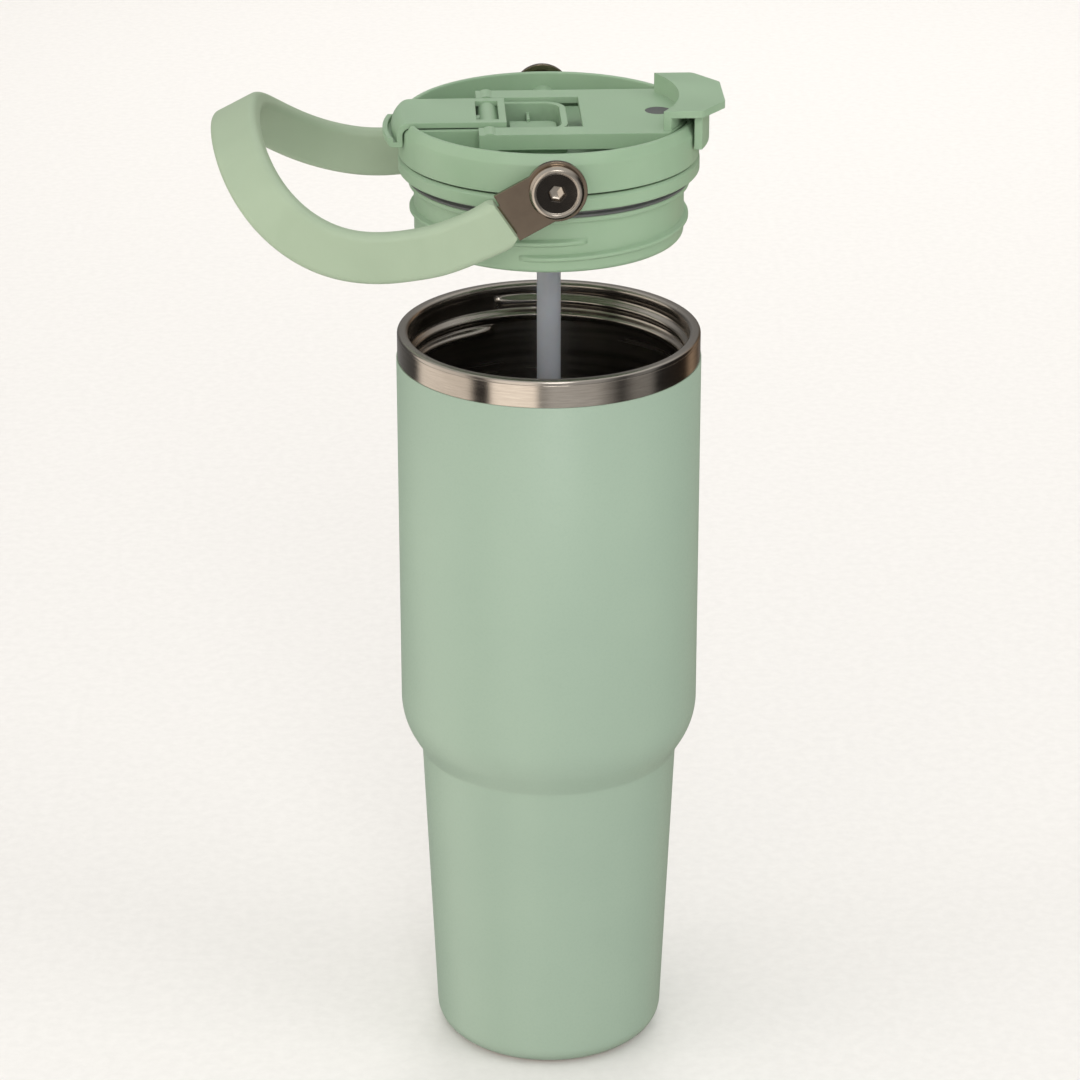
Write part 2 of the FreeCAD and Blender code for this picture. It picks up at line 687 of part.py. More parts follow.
def make_flip_spout():
    low = "bar_top - bar_thick"
    lip_in = "cover_radius + lip_gap"
    lip_out = lip_in + " + lip_thick"
    hook_in = lip_out + " + curl_gap"
    hook_out = hook_in + " + lip_thick"
    ring = turned("spout_lip", [
        ("cover_bore - lip_reach", low), ("cover_bore - lip_reach", "bar_top"),
        (lip_out, "bar_top"), (lip_out, "lip_low + lip_thick"), (hook_in, "lip_low + lip_thick"),
        (hook_in, "lip_tip"), (hook_out, "lip_tip"), (hook_out, "lip_low"), (lip_in, "lip_low"),
        (lip_in, low)])
    rounded(ring, "bar_bend", ring_at(lip_out, "bar_top"))
    rounded(ring, "bar_bend - lip_thick", ring_at(lip_in, low))
    rounded(ring, "lip_bend", ring_at(hook_out, "lip_low"))
    rounded(ring, "lip_bend / 2", ring_at(lip_in, "lip_low"))
    span = box("spout_span", "-(%s) - 5" % hook_out, "-trough_half", "-bar_half", "bar_half",
               "lip_low - 1", "bar_top + 1")
    plank = box("spout_plank", "lip_reach - cover_bore - 2", "-bar_right", "-bar_half", "bar_half",
                low, "bar_top")
    bar = fuse("spout_bar", [common("spout_lip_part", ring, span), plank])
    window = box("spout_window", "-window_left", "-window_right", "-window_half", "window_half",
                 "hinge_z", "bar_top + 1")
    plate = cut("spout_plate", bar, [window])
    drum = cylinder("spout_drum", "drum_radius", "2 * drum_half", x="-hinge_x", y="-drum_half",
                    z="hinge_z", axis="y")
    nozzle = cylinder("spout_nozzle", "nozzle_radius",
                      "nozzle_step - hinge_x - seat_half_x - nozzle_gap",
                      x="-nozzle_step", z="nozzle_z", axis="x")
    spigot = cylinder("spout_spigot", "nozzle_radius - tip_wall", "nozzle_end - nozzle_step",
                      x="-nozzle_end", z="nozzle_z", axis="x")
    whole = fuse("spout_fused", [plate, drum, nozzle, spigot])
    pin_way = cylinder("spout_pin_way", "pin_radius + running_gap", "2 * drum_half + 2",
                       x="-hinge_x", y="-drum_half - 1", z="hinge_z", axis="y")
    flow = cylinder("spout_flow", "flow_bore", "nozzle_end - hinge_x + drum_radius + 2",
                    x="-nozzle_end - 1", z="flow_z", axis="x")
    lid_part("flip_spout", cut("spout_whole", whole, [pin_way, flow]))
    sleeve = cylinder("tip_sleeve", "nozzle_radius", "tip_end - nozzle_step", x="-tip_end",
                      z="nozzle_z", axis="x")
    core = cylinder("tip_core", "nozzle_radius - tip_wall", "nozzle_end - nozzle_step",
                    x="-nozzle_end", z="nozzle_z", axis="x")
    mouth = cylinder("tip_mouth", "flow_bore", "10", x="-tip_end - 1", z="flow_z", axis="x")
    lid_part("spout_tip", cut("tip_whole", sleeve, [core, mouth]))
    for side, y in (("front", "-pin_reach"), ("back", "pin_inner")):
        lid_part("hinge_pin_" + side, cylinder("pin_" + side, "pin_radius", "pin_reach - pin_inner",
                                               axis="y"), x="-hinge_x", y=y, z="hinge_z")


# ---------------------------------------------------------------- sip flap

def make_sip_flap():
    top = "flap_top"
    low = "flap_top - flap_thick"
    fork = "trough_half + fork_gap"
    left = "-hinge_x - knuckle_radius"
    plate = box("flap_plate", left, "tab_inner + tab_leg", "-flap_half", "flap_half", low, top)
    skirts = [box("flap_skirt_%s" % side, left, "tab_inner", y0, y1,
                  "flap_top - flap_skirt", top)
              for side, y0, y1 in (("front", "-flap_half", "flap_skirt_thick - flap_half"),
                                   ("back", "flap_half - flap_skirt_thick", "flap_half"))]
    disc = cylinder("flap_limit", "flap_edge", "10", z="flap_top - flap_skirt - 2")
    deck = common("flap_deck", fuse("flap_flat", [plate] + skirts), disc)
    knuckles = [cylinder("flap_knuckle_%s" % side, "knuckle_radius", "flap_half - (%s)" % fork,
                         x="-hinge_x", y=y, z="hinge_z", axis="y")
                for side, y in (("front", "-flap_half"), ("back", fork))]
    # thumb tab: inner leg, roof over the rim, outer skirt
    roof = padded("tab_roof", "XY_Plane", [
        ("tab_inner / 2", "-tab_half"), ("tab_corner_x", "-tab_half"),
        ("tab_reach", "-tab_corner_y"), ("tab_reach", "tab_corner_y"),
        ("tab_corner_x", "tab_half"), ("tab_inner / 2", "tab_half")], "tab_thick")
    rounded(roof, "tab_round", upright_at("tab_corner_x"))
    rounded(roof, "tab_round", upright_at("tab_reach"))
    place(roof, z="tab_top - tab_thick")
    hollow = cylinder("tab_hollow", "tab_inner", "30", z="flap_top - 9")
    slab = cut("tab_slab", roof, [hollow])
    front_box = box("tab_leg_box", "tab_inner / 2", "tab_reach", "-tab_half", "tab_half", low,
                    "tab_top - tab_thick / 2")
    leg_ring = cut("tab_leg_ring", cylinder("tab_leg_out", "tab_inner + tab_leg", "20", z=low),
                   [cylinder("tab_leg_in", "tab_inner", "22", z="flap_top - flap_thick - 1")])
    leg = common("tab_leg_part", front_box, leg_ring)
    skirt_box = box("tab_skirt_box", "tab_inner / 2", "tab_reach + 2", "-skirt_half", "skirt_half",
                    "skirt_low", "tab_top - tab_thick / 2")
    skirt_in = "cover_radius + skirt_gap"
    skirt_ring = cut("tab_skirt_ring",
                     cylinder("tab_skirt_out", skirt_in + " + skirt_thick", "20", z="skirt_low"),
                     [cylinder("tab_skirt_in", skirt_in, "22", z="skirt_low - 1")])
    skirt = common("tab_skirt_part", skirt_box, skirt_ring)
    whole = fuse("flap_fused", [deck, slab, leg, skirt] + knuckles)
    slot = box("flap_slot_box", "-hinge_x - 6", "flap_slot", "-(%s)" % fork, fork, "deck_top",
               "flap_top + 5")
    pin_way = cylinder("flap_pin_way", "pin_radius + running_gap", "2 * (pin_reach + spacer_gap)",
                       x="-hinge_x", y="-pin_reach - spacer_gap", z="hinge_z", axis="y")
    stopper_way = cylinder("stopper_way", "stopper_radius", "20", x="sip_x", z="deck_top")
    lid_part("sip_flap", cut("flap_whole", whole, [slot, pin_way, stopper_way]))
    cap = cylinder("stopper_cap", "stopper_radius", "flap_thick - 0.1", x="sip_x", z=low)
    stem = cylinder("stopper_stem", "stopper_radius - 1", "flap_top - flap_thick - deck_top - 2",
                    x="sip_x", z="deck_top + 2")
    plug = doc.addObject("Part::Cone", "stopper_plug")
    bind(plug, "Radius1", "sip_bore - stopper_gap - 0.6")
    bind(plug, "Radius2", "sip_bore - stopper_gap")
    bind(plug, "Height", "2.6")
    place(plug, x="sip_x", z="deck_top - 0.6")
    lid_part("flap_stopper", fuse("stopper_whole", [cap, stem, plug]))


# ---------------------------------------------------------------- handle

def make_pivots():
    """Inserts, spacers and shoulder bolts: drawn for the front, then turned about for the back."""
    head_low = "strap_inner + strap_thick + side_gap"
    shank = head_low + " - boss_inner - insert_length"
    for side, spin in (("front", 0), ("back", 180)):
        sleeve = cylinder("insert_sleeve_" + side, "insert_radius", "insert_length",
                          y="-boss_inner - insert_length", axis="y")
        hole = cylinder("insert_hole_" + side, "thread_radius", "insert_length + 2",
                        y="-boss_inner - insert_length - 1", axis="y")
        insert = cut("insert_" + side, sleeve, [hole])
        ring = cylinder("spacer_ring_" + side, "spacer_radius", "strap_inner - side_gap - pad_reach",
                        y="side_gap - strap_inner", axis="y")
        ring_hole = cylinder("spacer_hole_" + side, "shoulder_radius + spacer_gap", "20",
                             y="-strap_inner - 1", axis="y")
        spacer = cut("spacer_" + side, ring, [ring_hole])
        head = cylinder("head_" + side, "head_radius", "head_thick - head_chamfer",
                        y="-(%s) - head_thick + head_chamfer" % head_low, axis="y")
        crown = doc.addObject("Part::Cone", "crown_" + side)
        crown.Placement = Placement(Vector(), Rotation(Vector(1, 0, 0), -90))
        bind(crown, "Radius1", "head_radius - head_chamfer")
        bind(crown, "Radius2", "head_radius")
        bind(crown, "Height", "head_chamfer")
        place(crown, y="-(%s) - head_thick" % head_low)
        shoulder = cylinder("shoulder_" + side, "shoulder_radius", shank,
                            y="-(%s)" % head_low, axis="y")
        thread = cylinder("thread_" + side, "thread_radius", "insert_length + 0.5",
                          y="-boss_inner - insert_length - 0.5", axis="y")
        solid = fuse("bolt_solid_" + side, [head, crown, shoulder, thread])
        hexagon = doc.addObject("Part::Prism", "socket_" + side)
        hexagon.Placement = Placement(Vector(), Rotation(Vector(1, 0, 0), -90))
        hexagon.Polygon = 6
        bind(hexagon, "Circumradius", "hex_across / 2 / cos(30)")
        bind(hexagon, "Height", "hex_depth + 1")
        place(hexagon, y="-(%s) - head_thick - 1" % head_low)
        bolt = cut("bolt_" + side, solid, [hexagon])
        for name, item in (("pivot_insert_", insert), ("pivot_spacer_", spacer),
                           ("pivot_bolt_", bolt)):
            item.Placement = Placement(Vector(), Rotation(Vector(0, 0, 1), spin))
            lid_part(name + side, item, z="pivot_z")


def strap_solid(name, y, eye):
    """One strap about its pivot: an eye, a flat arm and a narrower tail moulded into the grip."""
    disc = cylinder(name + "_eye", "strap_eye", "strap_thick", y=y, axis="y")
    arm = box(name + "_arm", "-strap_shoulder", "0", y, "(%s) + strap_thick" % y, "-strap_half",
              "strap_half")
    tail = box(name + "_tail", "-strap_length", "0", y, "(%s) + strap_thick" % y,
               "-strap_tail_half", "strap_tail_half")
    whole = fuse(name + "_fused", [disc, arm, tail] if eye else [arm, tail])
    hole = cylinder(name + "_hole", "shoulder_radius + running_gap", "4", y="(%s) - 1" % y, axis="y")
    item = cut(name, whole, [hole])
    item.Placement = Placement(Vector(), Rotation(Vector(0, 1, 0), -value("strap_angle")))
    return item


def grip_station(run, side, spread):
    """A point of the grip's centre line, its radial direction and its outward direction.

    run is the distance along the side view's two bends from their lowest point, side is -1, 0 or 1
    and spread is the angle round the half ellipse of the bow, from 0 at an arm to 90 at the middle.
    """
    thick = value("grip_thick")
    half = value("grip_half") - thick / 2
    bow = value("grip_bow") - thick / 2
    angle = math.radians(spread)
    along = run + bow * math.sin(angle)
    across = side * half * math.cos(angle)
    bend = value("grip_far_bend") if along > 0 else value("grip_near_bend")
    turn = along / bend
    point = Vector(-value("grip_low_x") - bend * math.sin(turn), across,
                   -value("grip_drop") + bend * (1 - math.cos(turn)))
    radial = Vector(math.sin(turn), 0, math.cos(turn))
    forward = Vector(-math.cos(turn), 0, math.sin(turn))
    outward = forward * (math.sin(angle) / bow) + Vector(0, side * math.cos(angle) / half, 0)
    outward.normalize()
    return point, radial, outward


def grip_section(point, radial, outward):
    """A rounded rectangle across the grip at one station."""
    wide = value("grip_width") / 2
    thin = value("grip_thick") / 2
    bend = value("grip_round")

    def spot(u, v):
        return point + radial * u + outward * v

    edges = []
    mid = bend * (1 - math.cos(math.pi / 4))
    corners = [(1, 1), (-1, 1), (-1, -1), (1, -1)]
    for index, (su, sv) in enumerate(corners):
        along_u = (spot(su * (wide - bend), sv * thin), spot(su * wide, sv * (thin - bend)))
        first, last = along_u if index % 2 else along_u[::-1]
        edges.append(Part.Arc(first, spot(su * (wide - mid), sv * (thin - mid)), last).toShape())
        nu, nv = corners[(index + 1) % 4]
        if index % 2:
            target = spot(nu * wide, nv * (thin - bend))
        else:
            target = spot(nu * (wide - bend), nv * thin)
        edges.append(Part.LineSegment(last, target).toShape())
    return Part.Wire(edges)


def make_handle():
    for side, y in (("front", "-strap_inner - strap_thick"), ("back", "strap_inner")):
        lid_part("handle_strap_" + side, strap_solid("strap_" + side, y, True), z="pivot_z")
    near = value("grip_near_bend")
    start = -near * math.asin((value("grip_low_x") - value("grip_start")) / near)
    straight = value("grip_straight")
    stations = []
    arm_steps = 5
    bow_steps = 8
    for side in (-1, 1):
        arm = [grip_station(start + (straight - start) * step / arm_steps, side, 0)
               for step in range(arm_steps)]
        bow = [grip_station(straight, side, 90 * step / bow_steps) for step in range(bow_steps)]
        row = arm + bow
        if side < 0:
            stations += row + [grip_station(straight, side, 90)]
        else:
            stations += row[::-1]
    sections = [grip_section(*station) for station in stations]
    blank = doc.addObject("Part::Feature", "grip_blank")
    blank.Shape = Part.makeLoft(sections, True, False)
    # each arm's end is cut back to a blunt nose
    corner = "grip_width / 2"
    noses = []
    for sign in (1, -1):
        wedge = padded("nose_cut_%d" % (sign + 1), "XZ_Plane", [
            ("2 - grip_start", "%d * grip_nose_half" % sign),
            ("-grip_start", "%d * grip_nose_half" % sign),
            ("-grip_start - grip_chamfer", "%d * (%s)" % (sign, corner)),
            ("-grip_start - grip_chamfer", "%d * (%s + 5)" % (sign, corner)),
            ("2 - grip_start", "%d * (%s + 5)" % (sign, corner))], "3 * grip_half", midplane=True)
        wedge.Placement = Placement(Vector(), Rotation(Vector(0, 1, 0), -value("strap_angle")))
        noses.append(wedge)
    moulds = [strap_solid("strap_mould_" + side, y, False)
              for side, y in (("front", "-strap_inner - strap_thick"), ("back", "strap_inner"))]
    lid_part("handle_grip", cut("grip_whole", blank, noses + moulds), z="pivot_z")


make_powder_coat()
make_outer_shell()
make_shell_bottom()
make_inner_vessel()
make_lid_cover()
make_lid_plug()
make_lid_seals()
make_straw()
make_flip_spout()
make_sip_flap()
make_pivots()
make_handle()
doc.recompute()

faults = [item.Name for item in doc.Objects if "Invalid" in item.State or "Error" in item.State]
faults += [name for name, item in nodes.items() if item.Shape.isNull() or not item.Shape.isValid()]
if faults:
    raise RuntimeError("failed objects: " + ", ".join(faults))

os.makedirs("parts", exist_ok=True)
for name, item in nodes.items():
    item.Shape.exportStep("parts/%s.step" % name)
    print("%-22s %9.1f mm3  %d solid(s)" % (name, item.Shape.Volume, len(item.Shape.Solids)))
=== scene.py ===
"""Looks of the insulated travel mug: materials, smooth skins, camera and light.

Scene units are metres in the CAD frame.  Lines and sections below are given in millimetres.
"""
import math

import bmesh
import bpy
from mathutils import Matrix, Vector


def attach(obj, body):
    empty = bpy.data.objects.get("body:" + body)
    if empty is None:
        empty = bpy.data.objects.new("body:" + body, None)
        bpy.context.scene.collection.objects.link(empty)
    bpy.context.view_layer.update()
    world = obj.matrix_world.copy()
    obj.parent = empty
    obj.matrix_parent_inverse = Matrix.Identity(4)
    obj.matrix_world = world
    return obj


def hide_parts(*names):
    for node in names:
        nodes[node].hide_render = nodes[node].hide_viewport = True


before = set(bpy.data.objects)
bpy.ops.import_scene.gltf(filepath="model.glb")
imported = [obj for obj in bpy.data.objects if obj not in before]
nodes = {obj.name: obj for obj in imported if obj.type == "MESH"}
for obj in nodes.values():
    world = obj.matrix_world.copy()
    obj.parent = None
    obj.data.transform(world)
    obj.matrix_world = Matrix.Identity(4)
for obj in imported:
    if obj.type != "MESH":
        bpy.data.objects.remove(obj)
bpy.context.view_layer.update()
MM = 0.001
SEAT = 311.0          # height of the lifted lid's seat plane
PIVOT = SEAT + 9.2    # height of the handle's pivot
SIP_X = 35.0          # the sip hole's place
VENT = (14.0, 9.0)    # the vent's place
SIP_BORE = 3.2
PLUG_R = 43.5
PITCH = 5.0
# outline of the mug's outside
FOOT_R = 38.6
FOOT_ROUND = 7.8
WAIST_R = 43.2
WAIST_Z = 107.0
WAIST_ROUND = 4.0
MUG_R = 50.0
SHOULDER_SLOPE = math.radians(30)
SHOULDER_ROUND = 25.0


# ------------------------------------------------------------------ mesh helpers
def mesh_object(name, points, faces, body, material, replaced=()):
    """Make a piece from points in millimetres."""
    mesh = bpy.data.meshes.new(name)
    mesh.from_pydata([(x * MM, y * MM, z * MM) for x, y, z in points], [], faces)
    mesh.validate()
    work = bmesh.new()
    work.from_mesh(mesh)
    bmesh.ops.remove_doubles(work, verts=work.verts, dist=1e-7)
    bmesh.ops.recalc_face_normals(work, faces=work.faces)
    work.to_mesh(mesh)
    work.free()
    mesh.polygons.foreach_set("use_smooth", [True] * len(mesh.polygons))
    item = bpy.data.objects.new(name, mesh)
    bpy.context.scene.collection.objects.link(item)
    mesh.materials.append(material)
    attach(item, body)
    if replaced:
        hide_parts(*replaced)
    return item


def rounded_line(corners, steps=8):
    """Corners are (r, z) or (r, z, rounding).  Returns the line with its corners rounded."""
    out = []
    last = len(corners) - 1
    for index, corner in enumerate(corners):
        bend = corner[2] if len(corner) > 2 else 0
        here = Vector(corner[:2])
        if bend <= 0 or index in (0, last):
            out.append(tuple(here))
            continue
        back = (Vector(corners[index - 1][:2]) - here)
        ahead = (Vector(corners[index + 1][:2]) - here)
        room = min(back.length, ahead.length)
        back.normalize()
        ahead.normalize()
        half = back.angle(ahead) / 2
        run = min(bend / math.tan(half), room * 0.98)
        bend = run * math.tan(half)
        centre = here + (back + ahead).normalized() * (bend / math.sin(half))
        first = here + back * run - centre
        final = here + ahead * run - centre
        turn = first.angle_signed(final)
        for step in range(steps + 1):
            angle = -turn * step / steps
            c, s = math.cos(angle), math.sin(angle)
            out.append((centre.x + first.x * c - first.y * s, centre.y + first.x * s + first.y * c))
    return out


def turned(line, closed=True, segments=192):
    """Points and faces of a line of (r, z) turned about Z."""
    points = []
    faces = []
    rings = []
    for r, z in line:
        if r < 1e-4:
            rings.append([len(points)] * segments)
            points.append((0.0, 0.0, z))
            continue
        start = len(points)
        for step in range(segments):
            angle = 2 * math.pi * step / segments
            points.append((r * math.cos(angle), r * math.sin(angle), z))
        rings.append(list(range(start, start + segments)))
    pairs = list(zip(rings, rings[1:]))
    if closed:
        pairs.append((rings[-1], rings[0]))
    for low, high in pairs:
        for step in range(segments):
            nxt = (step + 1) % segments
            face = [low[step], low[nxt], high[nxt], high[step]]
            unique = []
            for corner in face:
                if corner not in unique:
                    unique.append(corner)
            if len(unique) > 2:
                faces.append(unique)
    return points, faces


def joined(*lumps):
    points = []
    faces = []
    for more_points, more_faces in lumps:
        start = len(points)
        points += more_points
        faces += [[corner + start for corner in face] for face in more_faces]
    return points, faces


def grid_tube(rows):
    """Skin over rows of closed sections, with both ends closed."""
    points = [point for row in rows for point in row]
    count = len(rows[0])
    faces = []
    for index in range(len(rows) - 1):
        a = index * count
        b = a + count
        for step in range(count):
            nxt = (step + 1) % count
            faces.append([a + step, a + nxt, b + nxt, b + step])
    faces.append(list(range(count))[::-1])
    faces.append([(len(rows) - 1) * count + step for step in range(count)])
    return points, faces


def thread(base_r, height, half_width, z0, angle0, turns, outward, plateau, fade_deg):
    """A raised helical thread on a wall of radius base_r.

    plateau is the flat share of its width, and fade_deg the angle over which its ends rise.
    """
    rows = []
    steps = int(turns * 144)
    across = 14
    sign = 1 if outward else -1
    total = turns * 360
    for step in range(steps + 1):
        along = total * step / steps
        edge = min(along, total - along) / fade_deg
        grow = 1.0 if edge >= 1 else math.sin(edge * math.pi / 2) ** 0.8
        angle = math.radians(angle0 + along)
        middle = z0 + PITCH * along / 360
        row = []
        for part in range(across + 1):
            u = -1 + 2 * part / across
            flat = max(0.0, (abs(u) - plateau) / (1 - plateau))
            rise = height * grow * (0.5 + 0.5 * math.cos(math.pi * flat))
            r = base_r + sign * (rise - 0.02)
            row.append((r * math.cos(angle), r * math.sin(angle), middle + u * half_width))
        r = base_r - sign * 0.35
        row.append((r * math.cos(angle), r * math.sin(angle), middle + half_width))
        row.append((r * math.cos(angle), r * math.sin(angle), middle - half_width))
        rows.append(row)
    return grid_tube(rows)


# ------------------------------------------------------------------ materials
def srgb(r, g, b):
    out = []
    for level in (r, g, b):
        level /= 255.0
        out.append(level / 12.92 if level <= 0.04045 else ((level + 0.055) / 1.055) ** 2.4)
    return tuple(out) + (1.0,)


class Shader:
    """A small wrapper round one material's node tree."""

    def __init__(self, name):
        self.material = bpy.data.materials.new(name)
        self.material.use_nodes = True
        self.tree = self.material.node_tree
        self.surface = self.tree.nodes["Principled BSDF"]
        self.where = self.add("ShaderNodeTexCoord").outputs["Object"]

    def add(self, kind, inputs=None, **settings):
        node = self.tree.nodes.new(kind)
        for key, setting in settings.items():
            setattr(node, key, setting)
        for key, given in (inputs or {}).items():
            if isinstance(given, bpy.types.NodeSocket):
                self.tree.links.new(given, node.inputs[key])
            else:
                node.inputs[key].default_value = given
        return node

    def set(self, **inputs):
        for key, given in inputs.items():
            socket = self.surface.inputs[key.replace("_", " ")]
            if isinstance(given, bpy.types.NodeSocket):
                self.tree.links.new(given, socket)
            else:
                socket.default_value = given

    def noise(self, scale, detail=3.0, rough=0.5, where=None, distortion=0.0):
        return self.add("ShaderNodeTexNoise", {
            "Vector": where or self.where, "Scale": scale, "Detail": detail,
            "Roughness": rough, "Distortion": distortion}).outputs["Fac"]

    def ramp(self, value, low, high, out_low, out_high):
        return self.add("ShaderNodeMapRange", {
            "Value": value, "From Min": low, "From Max": high, "To Min": out_low,
            "To Max": out_high}).outputs["Result"]

    def mix(self, factor, first, second):
        node = self.add("ShaderNodeMix", data_type="RGBA")
        self.tree.links.new(factor, node.inputs[0])
        for index, given in ((6, first), (7, second)):
            if isinstance(given, bpy.types.NodeSocket):
                self.tree.links.new(given, node.inputs[index])
            else:
                node.inputs[index].default_value = given
        return node.outputs[2]

    def math(self, operation, first, second=0.0):
        node = self.add("ShaderNodeMath", operation=operation)
        for index, given in ((0, first), (1, second)):
            if isinstance(given, bpy.types.NodeSocket):
                self.tree.links.new(given, node.inputs[index])
            else:
                node.inputs[index].default_value = given
        return node.outputs[0]

    def round_the_axis(self, along, up):
        """Coordinates that run round Z and up it, each with its own scale."""
        split = self.add("ShaderNodeSeparateXYZ", {"Vector": self.where})
        angle = self.math("ARCTAN2", split.outputs["Y"], split.outputs["X"])
        turn_x = self.math("MULTIPLY", self.math("COSINE", angle), along)
        turn_y = self.math("MULTIPLY", self.math("SINE", angle), along)
        high = self.math("MULTIPLY", split.outputs["Z"], up)
        return self.add("ShaderNodeCombineXYZ", {"X": turn_x, "Y": turn_y, "Z": high}).outputs[0]

    def bump(self, height, distance, strength=1.0, over=None):
        inputs = {"Height": height, "Distance": distance, "Strength": strength}
        if over is not None:
            inputs["Normal"] = over
        return self.add("ShaderNodeBump", inputs).outputs["Normal"]

    def soft_edges(self, radius):
        return self.add("ShaderNodeBevel", {"Radius": radius * MM}, samples=6).outputs["Normal"]


def powder_coat():
    """Matte baked powder: fine orange peel, slow changes of tone and tiny pale specks."""
    s = Shader("green_powder_coat")
    peel = s.noise(1150.0, 2.0, 0.55)
    grain = s.noise(5200.0, 1.0, 0.5)
    broad = s.noise(16.0, 3.0, 0.5)
    speck = s.ramp(grain, 0.62, 0.78, 0.0, 1.0)
    colour = s.mix(s.ramp(broad, 0.3, 0.7, 0.0, 1.0), srgb(147, 167, 150), srgb(151, 171, 153))
    colour = s.mix(s.math("MULTIPLY", speck, 0.14), colour, srgb(176, 194, 176))
    colour = s.mix(s.math("MULTIPLY", s.ramp(peel, 0.35, 0.5, 1.0, 0.0), 0.10), colour,
                   srgb(134, 155, 137))
    height = s.math("ADD", peel, s.math("MULTIPLY", grain, 0.35))
    s.set(Base_Color=colour, Roughness=s.ramp(peel, 0.3, 0.7, 0.48, 0.38),
          Normal=s.bump(height, 0.00006, 0.4))
    s.surface.inputs["IOR"].default_value = 1.48
    return s.material


def moulded(name, base, dark, light, rough_low=0.40, rough_high=0.52, edge=0.35,
            grain_depth=0.00003, weight=0.0):
    """Moulded plastic with a spark-eroded satin face, flow clouds and softened edges."""
    s = Shader(name)
    spark = s.noise(3800.0, 2.0, 0.6)
    cloud = s.noise(38.0, 4.0, 0.55, distortion=0.6)
    wear = s.noise(420.0, 3.0, 0.6)
    colour = s.mix(s.ramp(cloud, 0.32, 0.68, 0.0, 1.0), dark, base)
    colour = s.mix(s.math("MULTIPLY", s.ramp(spark, 0.58, 0.75, 0.0, 1.0), 0.18), colour, light)
    rough = s.math("ADD", s.ramp(cloud, 0.3, 0.7, rough_low, rough_high),
                   s.math("MULTIPLY", s.ramp(wear, 0.62, 0.8, 0.0, 1.0), -0.05))
    s.set(Base_Color=colour, Roughness=rough,
          Normal=s.bump(spark, grain_depth, 0.6, s.soft_edges(edge)))
    s.surface.inputs["IOR"].default_value = 1.5
    if weight:
        s.surface.inputs["Subsurface Weight"].default_value = weight
        s.surface.inputs["Subsurface Radius"].default_value = (0.003, 0.004, 0.003)
    return s.material


def brushed_steel():
    """Steel brushed round the mug's axis: the lobe spreads up and down, across the brush lines."""
    s = Shader("brushed_round_steel")
    fine = s.noise(1.0, 3.0, 0.65, where=s.round_the_axis(9.0, 7000.0))
    coarse = s.noise(1.0, 2.0, 0.5, where=s.round_the_axis(5.0, 1500.0))
    stain = s.noise(30.0, 3.0, 0.5)
    line = s.math("ADD", s.math("MULTIPLY", fine, 0.65), s.math("MULTIPLY", coarse, 0.35))
    colour = s.mix(s.ramp(line, 0.35, 0.65, 0.0, 1.0), srgb(168, 160, 150), srgb(186, 178, 168))
    colour = s.mix(s.math("MULTIPLY", s.ramp(stain, 0.45, 0.75, 0.0, 1.0), 0.2), colour,
                   srgb(116, 100, 84))
    tangent = s.add("ShaderNodeTangent", direction_type="RADIAL", axis="Z").outputs[0]
    s.set(Base_Color=colour, Roughness=s.ramp(line, 0.3, 0.7, 0.16, 0.24), Tangent=tangent,
          Normal=s.bump(line, 0.000004, 0.5, s.soft_edges(0.25)))
    s.surface.inputs["Metallic"].default_value = 1.0
    s.surface.inputs["Anisotropic"].default_value = 0.85
    s.surface.inputs["Anisotropic Rotation"].default_value = 0.25
    return s.material


def vessel_steel():
    """Spun and electro-polished inside of the vessel, with faint spinning rings."""
    s = Shader("spun_vessel_steel")
    ring = s.noise(1.0, 2.0, 0.5, where=s.round_the_axis(0.8, 500.0))
    haze = s.noise(24.0, 4.0, 0.55)
    colour = s.mix(s.ramp(haze, 0.3, 0.7, 0.0, 1.0), srgb(158, 151, 143), srgb(176, 170, 162))
    tangent = s.add("ShaderNodeTangent", direction_type="RADIAL", axis="Z").outputs[0]
    s.set(Base_Color=colour, Roughness=s.ramp(ring, 0.3, 0.7, 0.20, 0.28), Tangent=tangent,
          Normal=s.bump(ring, 0.000003, 0.25, s.soft_edges(0.25)))
    s.surface.inputs["Metallic"].default_value = 1.0
    s.surface.inputs["Anisotropic"].default_value = 0.5
    s.surface.inputs["Anisotropic Rotation"].default_value = 0.25
    return s.material


def polished_steel(name, dark, light, rough=0.13):
    """Bolts and straps: mirror steel with faint polishing swirls."""
    s = Shader(name)
    swirl = s.noise(900.0, 3.0, 0.6, distortion=1.5)
    haze = s.noise(60.0, 4.0, 0.6)
    colour = s.mix(s.ramp(haze, 0.35, 0.65, 0.0, 1.0), dark, light)
    s.set(Base_Color=colour, Roughness=s.ramp(swirl, 0.3, 0.7, rough, rough + 0.09),
          Normal=s.bump(swirl, 0.000006, 0.5, s.soft_edges(0.3)))
    s.surface.inputs["Metallic"].default_value = 1.0
    return s.material


def silicone(name, base, dark):
    s = Shader(name)
    dust = s.noise(2600.0, 3.0, 0.6)
    cloud = s.noise(90.0, 3.0, 0.5)
    colour = s.mix(s.ramp(cloud, 0.3, 0.7, 0.0, 1.0), dark, base)
    s.set(Base_Color=colour, Roughness=s.ramp(dust, 0.3, 0.7, 0.55, 0.72),
          Normal=s.bump(dust, 0.00002, 0.6, s.soft_edges(0.2)))
    s.surface.inputs["Subsurface Weight"].default_value = 0.12
    s.surface.inputs["Subsurface Radius"].default_value = (0.002, 0.002, 0.002)
    return s.material


